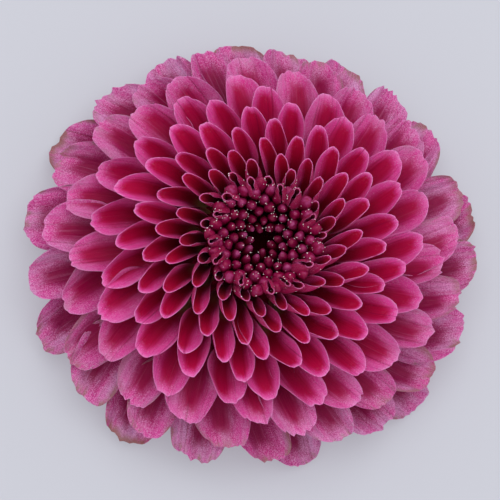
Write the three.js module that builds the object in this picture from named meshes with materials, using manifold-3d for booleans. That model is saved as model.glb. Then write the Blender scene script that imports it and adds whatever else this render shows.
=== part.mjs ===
// A pompon chrysanthemum: one cut flower head on a short stub of stem, standing face up.
// Millimetres, +Z up. The origin is the middle of the stem's cut end, which is what the head stands on.
import * as THREE from 'three';
import Module from 'manifold-3d';
import { mergeVertices } from 'three/addons/utils/BufferGeometryUtils.js';

const wasm = await Module();
wasm.setup();

// ---- driving dimensions, in mm, and in degrees where they are angles ---------------------------

const SEAT_GAP = 0.3; // left between one piece and the next

// Florets are counted outwards from the eye. Each stands a golden angle on from the last.
const GOLDEN_ANGLE = 137.508; // clockwise, seen from above
const FIRST_OPEN_TURN = 0.5; // azimuth of the innermost open floret
const EYE_FLORETS = 3; // places left empty at the eye, where the head has its pit
const CLOSED_FLORETS = 98; // still rolled shut, in a patch round the eye
const OPEN_FLORETS = 161; // opened to spoons at the crown and to flat petals at the skirt
const FLORETS = CLOSED_FLORETS + OPEN_FLORETS;

const HEART_Z = 8.4; // height of the point that the florets fan out from
const RECEPTACLE_RADIUS = 4.6;
const RECEPTACLE_RISE = 3.2;
const PATCH_RADIUS = 8.6; // of the closed florets' tips
const PATCH_SPREAD = 0.66; // power by which they spread over the patch: 0.5 is even, more crowds the eye
const TIP_STEP = 0.163; // how much further out each open floret's tip stands than the last
const RIM_FLORETS = 22; // the outermost, which make the outline of the head and reach out nearly alike
const RIM_TIP_STEP = 0.06;
const OVAL = 0.04; // how much further than the mean the skirt reaches along X, and how much less along Y
const EYE_HEIGHT = 16.4; // of the innermost tips above the heart
const CROWN_HEIGHT = 21.2; // of the crown's tips above the heart
const PIT_CURVE = 1.6; // power by which the patch rises from the eye to the crown
const CROWN_FAN = 23; // how far the crown's florets lean out
const SKIRT_FAN = 102; // how far the outermost florets lean out: past level, so that they droop
const ROOT_LEAN = 0.9; // how far a floret leans at its root, as a share of its lean at its tip
const HANDLE = 0.35; // reach of the midrib's two middle control points, as a share of its length
const LOWEST_TIP_Z = 1; // the skirt stays this far off what the head stands on

const FOOT_GIRTH = 3.1; // across a petal laid flat: at its foot, and where it is widest
const CROWN_GIRTH = 4.7;
const SKIRT_GIRTH = 9.9;
const WIDENS = [0.3, 0.88]; // the shares of its length between which it widens
const TIP_TAPER = { from: 0.8, by: 0.16 };
const FOOT_ROLL = 166; // half the angle that it is rolled through, at its foot and where it is open
const CROWN_ROLL = 150;
const SKIRT_ROLL = 54;
const ROLL_CURVE = 0.8; // power of its age by which it unrolls
const OPENS = [0.5, 0.86]; // the shares of its length between which it opens
const EYE_NOD = 45; // how far the tips at the eye nod inwards
const PATCH_TILT = 12; // how far the tips at the patch's edge tilt outwards
const CROWN_UPTURN = 14; // how much a tip turns up from its floret's lean
const SKIRT_DOWNTURN = 4;
const SWIRL = 0.075; // how far a floret bows sideways, as a share of its length
const WAYWARD = { fan: 2, tip: 7, turn: 2.2, girth: 0.1, swirl: 0.6, twist: 14 }; // how far each strays
const STRAY = [0.6, 1.5]; // what that is multiplied by, at the crown and at the skirt

const STEM_RADIUS = 2.3;
const STEM_RIBS = 6;
const STEM_RIB_DEPTH = 0.22;
const CORNERS_PER_RIB = 4;
const STEM_TOP_Z = 1.6;
const CUP_FLOOR_Z = STEM_TOP_Z + SEAT_GAP;
const CUP_RIM_Z = 6.5;
const CUP_FLOOR_RADIUS = 2.7;
const CUP_RIM_RADIUS = 7.6;
const CUP_SIDES = 20;
const CUP_SHOULDERS = [[0.4, 0.2], [0.8, 0.58]]; // how far out from floor to rim, and how far up
const BRACT_THICKNESS = 0.7;
const BRACT_TIP = 0.15; // its width at its tip, as a share of its width at its foot
const BRACT_ROWS = [
  { count: 13, footR: 2.6, footZ: 2.3, length: 4.3, width: 2.4, lean: 64 },
  { count: 21, footR: 4.4, footZ: 3.2, length: 4.6, width: 2.3, lean: 58 },
  { count: 21, footR: 6.0, footZ: 4.3, length: 3.9, width: 2.5, lean: 54 },
];

const rad = THREE.MathUtils.degToRad;
const { lerp, smoothstep, clamp } = THREE.MathUtils;

// ---- solids ------------------------------------------------------------------------------------

function solidOf(geometry) {
  const bare = geometry.clone();
  bare.deleteAttribute('normal');
  bare.deleteAttribute('uv');
  const merged = mergeVertices(bare, 1e-5);
  return new wasm.Manifold(new wasm.Mesh({
    numProp: 3,
    vertProperties: new Float32Array(merged.attributes.position.array),
    triVerts: new Uint32Array(merged.index.array),
  }));
}

function geometryOf(solid) {
  const mesh = solid.getMesh();
  const geometry = new THREE.BufferGeometry();
  geometry.setAttribute('position', new THREE.BufferAttribute(mesh.vertProperties, 3));
  geometry.setIndex(new THREE.BufferAttribute(mesh.triVerts, 1));
  geometry.computeVertexNormals();
  return geometry;
}

// Joins solids into one body. Hollows that the joining seals are filled, and loose scraps dropped.
function fused(solids) {
  const shells = wasm.Manifold.union(solids).decompose();
  return shells.reduce((most, shell) => (shell.volume() > most.volume() ? shell : most));
}

// Moves every vertex of a blank to where rule(x, y, z) puts it.
function reshaped(blank, rule) {
  const at = blank.attributes.position;
  const point = new THREE.Vector3();
  for (let i = 0; i < at.count; i += 1) {
    point.fromBufferAttribute(at, i);
    const moved = rule(point.x, point.y, point.z);
    at.setXYZ(i, moved.x, moved.y, moved.z);
  }
  return blank;
}

function turned(outline, sides) {
  return new THREE.LatheGeometry(outline.map(([r, z]) => new THREE.Vector2(r, z)), sides);
}

// ---- where each floret stands, and its shape ---------------------------------------------------

// A small draw from -1 to 1, the same one every time for a floret and a channel.
const DRAW = { curve: 0.3831, slope: 0.433, channelSlope: 0.271, channelStep: 0.05, start: 0.8 };

function draw(rank, channel) {
  const slope = DRAW.curve * rank + DRAW.slope + DRAW.channelSlope * channel;
  const mixed = slope * rank + DRAW.channelStep * channel + DRAW.start;
  return 2 * (mixed - Math.floor(mixed)) - 1;
}

// A direction in a floret's own upright plane: 0 is straight up and 90 is level and outwards.
function leaning(degrees) {
  return { r: Math.sin(rad(degrees)), z: Math.cos(rad(degrees)) };
}

// One floret: its turn round the head, the four control points of its midrib, and how it is rolled.
function floretRule(index) {
  const closed = index < CLOSED_FLORETS;
  const rank = index - CLOSED_FLORETS;
  const age = clamp(rank / OPEN_FLORETS, 0, 1); // 0 at the crown, 1 at the skirt
  const inner = clamp((index + 0.5) / CLOSED_FLORETS, 0, 1) ** PATCH_SPREAD; // 1 at the crown
  const stray = lerp(...STRAY, age); // the older, the less tidy
  const turn = rad(FIRST_OPEN_TURN - GOLDEN_ANGLE * rank + stray * WAYWARD.turn * draw(rank, 3));

  const openFan = lerp(CROWN_FAN, SKIRT_FAN, age) + stray * WAYWARD.fan * draw(rank, 1);
  const rimRank = Math.max(0, rank - OPEN_FLORETS + RIM_FLORETS);
  const openTipR = PATCH_RADIUS + TIP_STEP * (rank - rimRank) + RIM_TIP_STEP * rimRank;
  const fan = closed ? CROWN_FAN * inner : openFan;
  const tipR = closed ? PATCH_RADIUS * inner : openTipR * (1 + OVAL * Math.cos(2 * turn) * age);
  const rise = closed ? lerp(EYE_HEIGHT, CROWN_HEIGHT, inner ** PIT_CURVE) : tipR / Math.tan(rad(fan));
  const tipZ = Math.max(LOWEST_TIP_Z, HEART_Z + rise);
  const openTipLean = fan - lerp(CROWN_UPTURN, -SKIRT_DOWNTURN, age) + stray * WAYWARD.tip * draw(rank, 2);
  const tipLean = leaning(closed ? lerp(-EYE_NOD, PATCH_TILT, inner) : openTipLean);

  const share = Math.sqrt(index / FLORETS);
  const rootR = RECEPTACLE_RADIUS * share;
  const rootZ = HEART_Z + RECEPTACLE_RISE * (1 - share * share);
  const rootLean = leaning(ROOT_LEAN * fan);
  const length = Math.hypot(tipR - rootR, tipZ - rootZ);
  const handle = HANDLE * length;
  return {
    closed,
    age,
    inner,
    turn,
    midrib: [
      { r: rootR, z: rootZ },
      { r: rootR + handle * rootLean.r, z: rootZ + handle * rootLean.z },
      { r: tipR - handle * tipLean.r, z: tipZ - handle * tipLean.z },
      { r: tipR, z: tipZ },
    ],
    girth: lerp(CROWN_GIRTH, SKIRT_GIRTH, age) * (1 + WAYWARD.girth * draw(rank, 4)),
    roll: lerp(CROWN_ROLL, SKIRT_ROLL, age ** ROLL_CURVE),
    bow: SWIRL * length * (1 + WAYWARD.swirl * draw(rank, 5)),
    twist: rad(stray * WAYWARD.twist * draw(rank, 6)),
  };
}

// The midrib at a share of its length: its place, and the direction that it runs in.
function midribAt(floret, t) {
  const s = 1 - t;
  const weights = [s * s * s, 3 * s * s * t, 3 * s * t * t, t * t * t];
  const slopes = [-3 * s * s, 3 * s * s - 6 * s * t, 6 * s * t - 3 * t * t, 3 * t * t];
  const sum = (factors, key) => floret.midrib.reduce((total, point, i) => total + factors[i] * point[key], 0);
  const run = new THREE.Vector2(sum(slopes, 'r'), sum(slopes, 'z')).normalize();
  return { r: sum(weights, 'r'), z: sum(weights, 'z'), runR: run.x, runZ: run.y };
}

// A point of a floret: `along` runs from root to tip, `across` from margin to margin (-1 to 1), and
// `lift` stands off towards the middle of the roll. A floret is a rolled foot that opens to a channel,
// given here straight sides, as wide and as deep as the rolled petal.
function floretPoint(floret, along, across, lift) {
  const roll = rad(lerp(FOOT_ROLL, floret.roll, smoothstep(along, ...OPENS)));
  const girth = lerp(FOOT_GIRTH, floret.girth, smoothstep(along, ...WIDENS));
  const taper = 1 - TIP_TAPER.by * smoothstep(along, TIP_TAPER.from, 1);
  const radius = (girth * taper) / (2 * roll);
  const side = across * radius * Math.sin(Math.min(roll, Math.PI / 2));
  const rise = Math.abs(across) * radius * (1 - Math.cos(roll)) + lift;

  const twist = floret.twist * along;
  const lateral = side * Math.cos(twist) - rise * Math.sin(twist) - floret.bow * 4 * along * (1 - along);
  const inwards = side * Math.sin(twist) + rise * Math.cos(twist);
  const middle = midribAt(floret, along);
  const r = middle.r - middle.runZ * inwards;
  const z = middle.z + middle.runR * inwards;
  const c = Math.cos(floret.turn);
  const n = Math.sin(floret.turn);
  return new THREE.Vector3(r * c - lateral * n, r * n + lateral * c, z);
}

// ---- the florets, and the core that they stand out of ------------------------------------------

// How far up its florets the core comes, as a share of their length: high where they are crowded, lower
// in the pit, and low at the skirt, whose florets show their backs from below.
const EYE_CORE_REACH = 0.6;
const CROWN_CORE_REACH = 0.8;
const SKIRT_CORE_REACH = 0.2;
const CORE_SINKS_FROM = 0.45; // the age at which it starts to sink from the crown's reach to the skirt's

function coreReach(floret) {
  if (floret.closed) return lerp(EYE_CORE_REACH, CROWN_CORE_REACH, floret.inner);
  return lerp(CROWN_CORE_REACH, SKIRT_CORE_REACH, smoothstep(floret.age, CORE_SINKS_FROM, 1));
}

// The dense middle of the head: turned, with an outline through the midribs of florets from the skirt
// to the eye.
const CORE_FLOOR_Z = CUP_RIM_Z + SEAT_GAP;
const CORE_FLOOR_RADIUS = 7.4;
const CORE_SIDES = 22;
const CORE_STEPS = 10;

function core() {
  const outline = [[0, CORE_FLOOR_Z], [CORE_FLOOR_RADIUS, CORE_FLOOR_Z]];
  for (let step = 0; step <= CORE_STEPS; step += 1) {
    const floret = floretRule((FLORETS - 1) * (1 - step / CORE_STEPS));
    const { r, z } = midribAt(floret, coreReach(floret));
    outline.push([step === CORE_STEPS ? 0 : r, z]);
  }
  return solidOf(turned(outline, CORE_SIDES).rotateX(Math.PI / 2));
}

// A closed floret: a slim stalk with a pointed head, turned and then drawn out along its midrib.
const STALK_SIDES = 4;
const STALK_RADII = [0.78, 0.92]; // at the eye, and at the edge of the patch
const STALK_SHOULDER = 0.3; // where its head narrows, from -1 at its foot to 1 at its tip
const STALK_SINK = 0.08; // how far below the core's surface it starts, as a share of its length

function closedFloret(index) {
  const floret = floretRule(index);
  const radius = lerp(STALK_RADII[0], STALK_RADII[1], floret.inner);
  const blank = turned([[0, -1], [1, -1], [1, STALK_SHOULDER], [0, 1]], STALK_SIDES);
  return solidOf(reshaped(blank, (x, y, z) => {
    const along = lerp(coreReach(floret) - STALK_SINK, 1, (y + 1) / 2);
    return floretPoint(floret, along, 0, 0).add(new THREE.Vector3(radius * x, -radius * z, 0));
  }));
}

// A blade's blank is a four-sided prism: two of its edges are the margins, and the others run down the
// middle of the inner and the outer face. Both faces are split along the same diagonals, so that they
// can't cross each other where the blade is curved.
function bladeBlank(steps) {
  const blank = new THREE.CylinderGeometry(1, 1, 1, 4, steps);
  for (let quad = 0; quad < 4 * steps; quad += 1) {
    const [upper, lower, upperNext, , lowerNext] = blank.index.array.slice(6 * quad, 6 * quad + 6);
    const flipped = [upper, lower, lowerNext, upper, lowerNext, upperNext];
    if (Math.floor(quad / steps) % 2 === 1) blank.index.array.set(flipped, 6 * quad);
  }
  return blank;
}

// An open floret: a blade that is thickest at its midrib.
const BLADE_THICKNESS = 0.7;
const BLADE_SINK = 0.05; // how far below the core's surface it starts, as a share of its length
const CROWDED_AGE = 0.55; // up to here blades show so little of their length that one step does
const MARGIN_SHARE = 0.84; // of the length, where the margins end short of the tip

function openFloret(index) {
  const floret = floretRule(index);
  const start = coreReach(floret) - BLADE_SINK;
  return solidOf(reshaped(bladeBlank(floret.age < CROWDED_AGE ? 1 : 2), (x, y, z) => {
    const along = lerp(start, 1, y + 0.5);
    const across = -Math.round(x);
    if (across !== 0) return floretPoint(floret, MARGIN_SHARE * along, across, 0);
    return floretPoint(floret, along, 0, 0.5 * BLADE_THICKNESS * (z - 1));
  }));
}

function rayFlorets() {
  const solids = [core()];
  for (let index = EYE_FLORETS; index < FLORETS; index += 1) {
    solids.push(index < CLOSED_FLORETS ? closedFloret(index) : openFloret(index));
  }
  return geometryOf(fused(solids));
}

// ---- the green bracts under the head, and the stem ---------------------------------------------

// One bract: a small keeled scale that leans out from the cup and narrows to a point.
function bract(row, turn) {
  const blank = new THREE.CylinderGeometry(BRACT_TIP, 1, 1, 4, 1);
  const lean = leaning(row.lean);
  const c = Math.cos(turn);
  const n = Math.sin(turn);
  return solidOf(reshaped(blank, (x, y, z) => {
    const along = row.length * (y + 0.5);
    const keel = -0.5 * BRACT_THICKNESS * z;
    const side = 0.5 * row.width * x;
    const r = row.footR + lean.r * along - lean.z * keel;
    return new THREE.Vector3(r * c - side * n, r * n + side * c, row.footZ + lean.z * along + lean.r * keel);
  }));
}

function greenBracts() {
  const cup = turned([
    [0, CUP_FLOOR_Z],
    [CUP_FLOOR_RADIUS, CUP_FLOOR_Z],
    ...CUP_SHOULDERS.map(([out, up]) => [
      lerp(CUP_FLOOR_RADIUS, CUP_RIM_RADIUS, out), lerp(CUP_FLOOR_Z, CUP_RIM_Z, up),
    ]),
    [CUP_RIM_RADIUS, CUP_RIM_Z],
    [0, CUP_RIM_Z],
  ], CUP_SIDES);
  const solids = [solidOf(cup.rotateX(Math.PI / 2))];
  BRACT_ROWS.forEach((row, rowNumber) => {
    for (let number = 0; number < row.count; number += 1) {
      solids.push(bract(row, rad((360 / row.count) * (number + 0.5 * rowNumber))));
    }
  });
  return geometryOf(fused(solids));
}

// The stem's section is a circle with shallow ribs.
function stemStub() {
  const corners = [];
  const points = STEM_RIBS * CORNERS_PER_RIB;
  for (let i = 0; i < points; i += 1) {
    const angle = (2 * Math.PI * i) / points;
    const radius = STEM_RADIUS + STEM_RIB_DEPTH * Math.cos(STEM_RIBS * angle);
    corners.push(new THREE.Vector2(radius * Math.cos(angle), radius * Math.sin(angle)));
  }
  return new THREE.ExtrudeGeometry(new THREE.Shape(corners), { depth: STEM_TOP_Z, bevelEnabled: false });
}

// ---- the flower --------------------------------------------------------------------------------

function piece(name, geometry, color, roughness) {
  const mesh = new THREE.Mesh(geometry, new THREE.MeshStandardMaterial({ color, roughness, metalness: 0 }));
  mesh.name = name;
  return mesh;
}

const flower = new THREE.Group();
flower.add(
  piece('ray_florets', rayFlorets(), 0xa01850, 0.55),
  piece('green_bracts', greenBracts(), 0x6f8a3c, 0.7),
  piece('stem_stub', stemStub(), 0x7d9a4a, 0.7),
);
export default flower;
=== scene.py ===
"""The looks of a pompon chrysanthemum head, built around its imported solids.

Blender's side is in metres. The rule that places and shapes the florets is in millimetres, with the same
dimensions as the solids, and each tree of nodes turns its result to metres as it sets the positions.
"""
import math

import bpy
import numpy as np
from mathutils import Matrix, Vector


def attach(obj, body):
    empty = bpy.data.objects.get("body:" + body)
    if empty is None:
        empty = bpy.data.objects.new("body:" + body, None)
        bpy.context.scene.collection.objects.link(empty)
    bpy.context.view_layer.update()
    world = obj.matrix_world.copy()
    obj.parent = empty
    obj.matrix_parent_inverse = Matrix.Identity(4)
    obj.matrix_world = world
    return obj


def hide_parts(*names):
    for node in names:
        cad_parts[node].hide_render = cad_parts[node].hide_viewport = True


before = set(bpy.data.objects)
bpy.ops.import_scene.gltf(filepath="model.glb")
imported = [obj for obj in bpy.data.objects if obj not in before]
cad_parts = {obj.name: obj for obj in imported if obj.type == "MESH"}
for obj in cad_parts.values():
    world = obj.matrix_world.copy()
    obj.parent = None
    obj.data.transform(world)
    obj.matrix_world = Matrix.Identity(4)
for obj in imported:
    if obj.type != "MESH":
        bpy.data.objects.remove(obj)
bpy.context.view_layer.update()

MM = 0.001

# ---- camera, in mm --------------------------------------------------------------------------------

PICTURE = 500  # pixels across the square picture
PIXEL = 0.141  # mm of the flower in one of them
CAMERA_FROM = (-0.56, -0.83)  # the side of the head that the camera leans towards
CAMERA_HEIGHT_ANGLE = 81.6  # degrees above the floor
CAMERA_DISTANCE = 450.0
CLIP = (0.01, 10.0)  # in metres, as Blender takes it
AIM = (-0.75, -0.3, 14.0)  # the point that the middle of the picture shows
SENSOR = 36.0


def put(name, data):
    """An object at the origin, in the scene."""
    made = bpy.data.objects.new(name, data)
    bpy.context.scene.collection.objects.link(made)
    return made


def camera():
    lens = bpy.data.cameras.new("camera")
    lens.sensor_width = SENSOR
    lens.lens = SENSOR * CAMERA_DISTANCE / (PICTURE * PIXEL)
    lens.clip_start, lens.clip_end = CLIP
    level = Vector(CAMERA_FROM).normalized() * math.cos(math.radians(CAMERA_HEIGHT_ANGLE))
    back = Vector((level.x, level.y, math.sin(math.radians(CAMERA_HEIGHT_ANGLE))))
    up = (Vector((0, 1, 0)) - back * back.y).normalized()
    right = up.cross(back)
    turn = Matrix((right, up, back)).transposed().to_4x4()
    holder = put("camera", lens)
    holder.matrix_world = Matrix.Translation((Vector(AIM) + back * CAMERA_DISTANCE) * MM) @ turn
    bpy.context.scene.camera = holder


camera()

# ---- nodes, written as Python expressions ---------------------------------------------------------


class Value:
    """One output of a node. Arithmetic on it adds the Math nodes that work it out."""

    def __init__(self, net, socket):
        self.net, self.socket = net, socket

    def other(self, key):
        return Value(self.net, pick(self.socket.node.outputs, key))

    def __add__(self, term):
        return self.net.maths("ADD", self, term)

    def __sub__(self, term):
        return self.net.maths("SUBTRACT", self, term)

    def __rsub__(self, term):
        return self.net.maths("SUBTRACT", term, self)

    def __mul__(self, term):
        return self.net.maths("MULTIPLY", self, term)

    def __truediv__(self, term):
        return self.net.maths("DIVIDE", self, term)

    def __rtruediv__(self, term):
        return self.net.maths("DIVIDE", term, self)

    def __pow__(self, term):
        return self.net.maths("POWER", self, term)

    def __abs__(self):
        return self.net.maths("ABSOLUTE", self)

    __radd__ = __add__
    __rmul__ = __mul__


def pick(sockets, key):
    if isinstance(key, int):
        return sockets[key]
    return next(s for s in sockets if key in (s.identifier, s.name))


class Net:
    """A tree of nodes that is being built. Shaper and Finish say how it reads an attribute."""

    def __init__(self, tree):
        self.tree = tree

    def node(self, kind, settings=(), sockets=(), out=0):
        made = self.tree.nodes.new(kind)
        for key, value in dict(settings).items():
            setattr(made, key, value)
        for key, value in dict(sockets).items():
            if isinstance(value, Value):
                self.tree.links.new(value.socket, pick(made.inputs, key))
            else:
                pick(made.inputs, key).default_value = value
        return Value(self, pick(made.outputs, out)) if made.outputs else made

    def reads(self, *names):
        return [self.read(name) for name in names]

    def maths(self, operation, *terms):
        return self.node("ShaderNodeMath", {"operation": operation}, dict(enumerate(terms)))

    def sin(self, value):
        return self.maths("SINE", value)

    def cos(self, value):
        return self.maths("COSINE", value)

    def sqrt(self, value):
        return self.maths("SQRT", value)

    def least(self, a, b):
        return self.maths("MINIMUM", a, b)

    def most(self, a, b):
        return self.maths("MAXIMUM", a, b)

    def between(self, a, b, share):
        """From a to b as share goes from 0 to 1, in plain numbers."""
        return a + (b - a) * share

    def ease(self, value, low, high, start=0.0, end=1.0):
        """From start to end, smoothly, as value goes from low to high."""
        return self.node("ShaderNodeMapRange", {"interpolation_type": "SMOOTHSTEP"},
                         {"Value": value, "From Min": low, "From Max": high, "To Min": start, "To Max": end})

    def join(self, x, y, z):
        return self.node("ShaderNodeCombineXYZ", (), {0: x, 1: y, 2: z})

    def split(self, vector):
        parts = self.node("ShaderNodeSeparateXYZ", (), {0: vector})
        return parts, parts.other(1), parts.other(2)

    def vectors(self, operation, *terms):
        return self.node("ShaderNodeVectorMath", {"operation": operation}, dict(enumerate(terms)))

    def blend(self, a, b, share):
        return self.node("ShaderNodeMix", {"data_type": "VECTOR"},
                         {"Factor_Float": share, "A_Vector": a, "B_Vector": b}, "Result_Vector")

    def shade(self, a, b, share):
        return self.node("ShaderNodeMix", {"data_type": "RGBA"},
                         {"Factor_Float": share, "A_Color": a, "B_Color": b}, "Result_Color")

    def noise(self, vector, scale, detail=2.0, roughness=0.5, distortion=0.0):
        return self.node("ShaderNodeTexNoise", (), {"Vector": vector, "Scale": scale, "Detail": detail,
                                                    "Roughness": roughness, "Distortion": distortion})

    def pattern(self, surface, counts, detail=2.0, roughness=0.5, distortion=0.0):
        """Noise on a floret's own skin, with how fast it changes along each value of the surface."""
        return self.noise(self.join(*(value * count for value, count in zip(surface, counts))), 1.0, detail,
                          roughness, distortion)


class Shaper(Net):
    """A geometry tree, with named inputs."""

    def __init__(self, name, **inputs):
        super().__init__(bpy.data.node_groups.new(name, "GeometryNodeTree"))
        kinds = {float: "NodeSocketFloat", int: "NodeSocketInt", bpy.types.Material: "NodeSocketMaterial"}
        self.tree.interface.new_socket("Geometry", in_out="INPUT", socket_type="NodeSocketGeometry")
        self.tree.interface.new_socket("Geometry", in_out="OUTPUT", socket_type="NodeSocketGeometry")
        for key, start in inputs.items():
            kind = "NodeSocketMaterial" if start is None else kinds[type(start)]
            item = self.tree.interface.new_socket(key, in_out="INPUT", socket_type=kind)
            if start is not None:
                item.default_value = start
        self.ins = self.node("NodeGroupInput")

    def __getitem__(self, key):
        return self.ins.other(key)

    def read(self, name, kind="FLOAT"):
        return self.node("GeometryNodeInputNamedAttribute", {"data_type": kind}, {"Name": name})

    def keep(self, geometry, kind="FLOAT", **values):
        """The geometry, with each value kept at its points as an attribute."""
        for name, value in values.items():
            geometry = self.node("GeometryNodeStoreNamedAttribute", {"data_type": kind, "domain": "POINT"},
                                 {"Geometry": geometry, "Name": name, "Value": value})
        return geometry

    def stand(self, blank):
        """One copy of the blank on each seed, made real, with its own places kept as the attribute blank."""
        kept = self.keep(blank, "FLOAT_VECTOR", blank=self.node("GeometryNodeInputPosition"))
        placed = self.node("GeometryNodeInstanceOnPoints", (), {"Points": self["Geometry"], "Instance": kept})
        return self.node("GeometryNodeRealizeInstances", (), {0: placed})

    def finish(self, geometry):
        surfaced = {"Geometry": geometry, "Material": self["Surface"]}
        dressed = self.node("GeometryNodeSetMaterial", (), surfaced)
        self.node("NodeGroupOutput", (), {0: dressed})
        return self.tree


def grown(name, tree, mesh, **inputs):
    """The plain mesh that a tree makes of a mesh of seeds, as an object at the origin."""
    carrier = put(name, mesh)
    modifier = carrier.modifiers.new("shape", "NODES")
    modifier.node_group = tree
    for item in tree.interface.items_tree:
        if item.in_out == "INPUT" and item.name in inputs:
            modifier[item.identifier] = inputs[item.name]
    bpy.context.view_layer.update()
    result = bpy.data.meshes.new_from_object(carrier.evaluated_get(bpy.context.evaluated_depsgraph_get()))
    carrier.modifiers.remove(modifier)
    carrier.data = result
    result.name = name
    for spare in [a.name for a in result.attributes if a.name in SEED_ONLY]:
        result.attributes.remove(result.attributes[spare])
    result.shade_smooth()
    return carrier


def seeds(rows):
    """A mesh of loose points, one for each row, that carries the row's numbers as attributes."""
    mesh = bpy.data.meshes.new("seeds")
    mesh.from_pydata([(0.0, 0.0, 0.0)] * len(rows), [], [])
    for key, first in rows[0].items():
        plain = isinstance(first, float)
        layer = mesh.attributes.new(key, "FLOAT" if plain else "FLOAT_VECTOR", "POINT")
        numbers = np.array([row[key] for row in rows], np.float32).ravel()
        layer.data.foreach_set("value" if plain else "vector", numbers)
    return mesh


# ---- the rule of the head, as in the solids: mm and degrees ---------------------------------------

GOLDEN_ANGLE = 137.508  # clockwise, seen from above
FIRST_OPEN_TURN = 0.5  # azimuth of the innermost open floret
EYE_FLORETS = 3  # places left empty at the eye, where the head has its pit
CLOSED_FLORETS = 98  # still rolled shut, in a patch round the eye
OPEN_FLORETS = 161  # opened to spoons at the crown and to flat petals at the skirt
FLORETS = CLOSED_FLORETS + OPEN_FLORETS
HEART_Z = 8.4  # height of the point that the florets fan out from
RECEPTACLE_RADIUS = 4.6
RECEPTACLE_RISE = 3.2
PATCH_RADIUS = 8.6  # of the closed florets' tips
PATCH_SPREAD = 0.66  # power by which they spread over the patch: 0.5 is even, more crowds the eye
TIP_STEP = 0.163  # how much further out each open floret's tip stands than the last
RIM_FLORETS = 22  # the outermost, which reach out nearly alike
RIM_TIP_STEP = 0.06
OVAL = 0.04  # how much further than the mean the skirt reaches along X, and how much less along Y
EYE_HEIGHT = 16.4  # of the innermost tips above the heart
CROWN_HEIGHT = 21.2  # of the crown's tips above the heart
PIT_CURVE = 1.6  # power by which the patch rises from the eye to the crown
CROWN_FAN = 23.0  # how far the crown's florets lean out
SKIRT_FAN = 102.0  # how far the outermost florets lean out: past level, so that they droop
ROOT_LEAN = 0.9  # how far a floret leans at its root, as a share of its lean at its tip
HANDLE = 0.35  # reach of the midrib's two middle control points, as a share of its length
LOWEST_TIP_Z = 1.0  # the skirt stays this far off what the head stands on
FOOT_GIRTH = 3.1  # across a petal laid flat: at its foot, and where it is widest
CROWN_GIRTH = 4.7
SKIRT_GIRTH = 9.9
FOOT_ROLL = 166.0  # half the angle that it is rolled through, at its foot and where it is open
CROWN_ROLL = 150.0
SKIRT_ROLL = 54.0
ROLL_CURVE = 0.8  # power of its age by which it unrolls
EYE_NOD = 45.0  # how far the tips at the eye nod inwards
PATCH_TILT = 12.0  # how far the tips at the patch's edge tilt outwards
CROWN_UPTURN = 14.0  # how much a tip turns up from its floret's lean
SKIRT_DOWNTURN = 4.0
SWIRL = 0.075  # how far a floret bows sideways, as a share of its length
# how far a value strays: in degrees, and for girth and swirl as a share of them
WAYWARD = {"fan": 2.0, "tip": 7.0, "turn": 2.2, "girth": 0.1, "swirl": 0.6, "twist": 14.0}
STRAY = (0.6, 1.5)  # what most of those are multiplied by, at the crown and at the skirt
DRAW = {"curve": 0.3831, "slope": 0.433, "channel slope": 0.271, "channel step": 0.05, "start": 0.8}

# what only the looks need: the values at the crown and at the skirt, and how far each strays
WIDENED = (1.04, 1.2)  # the girth, as a share of the solids'
WIDENS_FROM, WIDENS_TO = 0.4, 0.95  # the ages between which it grows
HOOD = {"start": 1.12, "split": 12, "florets": 27, "stray": 0.25}  # how far a tip still hoods its mouth
SCOOP = {"crown": 0.1, "middle": 0.6, "skirt": 0.5, "stray": 0.35}  # how far a tip turns up
SCOOP_AGES = ((0.1, 0.46), (0.75, 1.0))  # from the crown's to the middle's, and from that to the skirt's
NOTCH = {"crown": 0.05, "skirt": 0.5, "ages": (0.26, 0.82), "stray": 0.6}  # how deeply the end is nicked
RUFFLE = {"crown": 0.05, "skirt": 0.9, "ages": (0.62, 1.0), "stray": 0.4}  # how much a blade is creased
BUD_RADIUS = {"eye": 0.56, "edge": 1.02, "stray": 0.14}  # of a closed floret's head

# the channel of draws that each value takes
FAN, TIP, TURN, GIRTH, BOW, TWIST, TONE, SCOOPED, NOTCHED, RUFFLED, BUD, HOODED = range(1, 13)
BRACT_TURN, BRACT_LEAN, BRACT_LENGTH = range(1, 4)

# attributes of the seeds that no material reads
SEED_ONLY = ("blank", "turn", "root", "foot", "hook", "tip", "girth", "roll", "bow", "twist", "scoop",
             "notch", "ruffle", "length", "bud")


def lerp(a, b, share):
    return a + (b - a) * share


def clamp(value):
    return min(1.0, max(0.0, value))


def ease(value, low, high):
    share = clamp((value - low) / (high - low))
    return share * share * (3 - 2 * share)


def draw(rank, channel):
    """A small draw from -1 to 1, the same one every time for a floret and a channel."""
    slope = DRAW["slope"] + DRAW["channel slope"] * channel
    mixed = DRAW["curve"] * rank * rank + slope * rank + DRAW["channel step"] * channel + DRAW["start"]
    return 2 * (mixed - math.floor(mixed)) - 1


def leaning(degrees):
    return math.sin(math.radians(degrees)), math.cos(math.radians(degrees))


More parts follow.
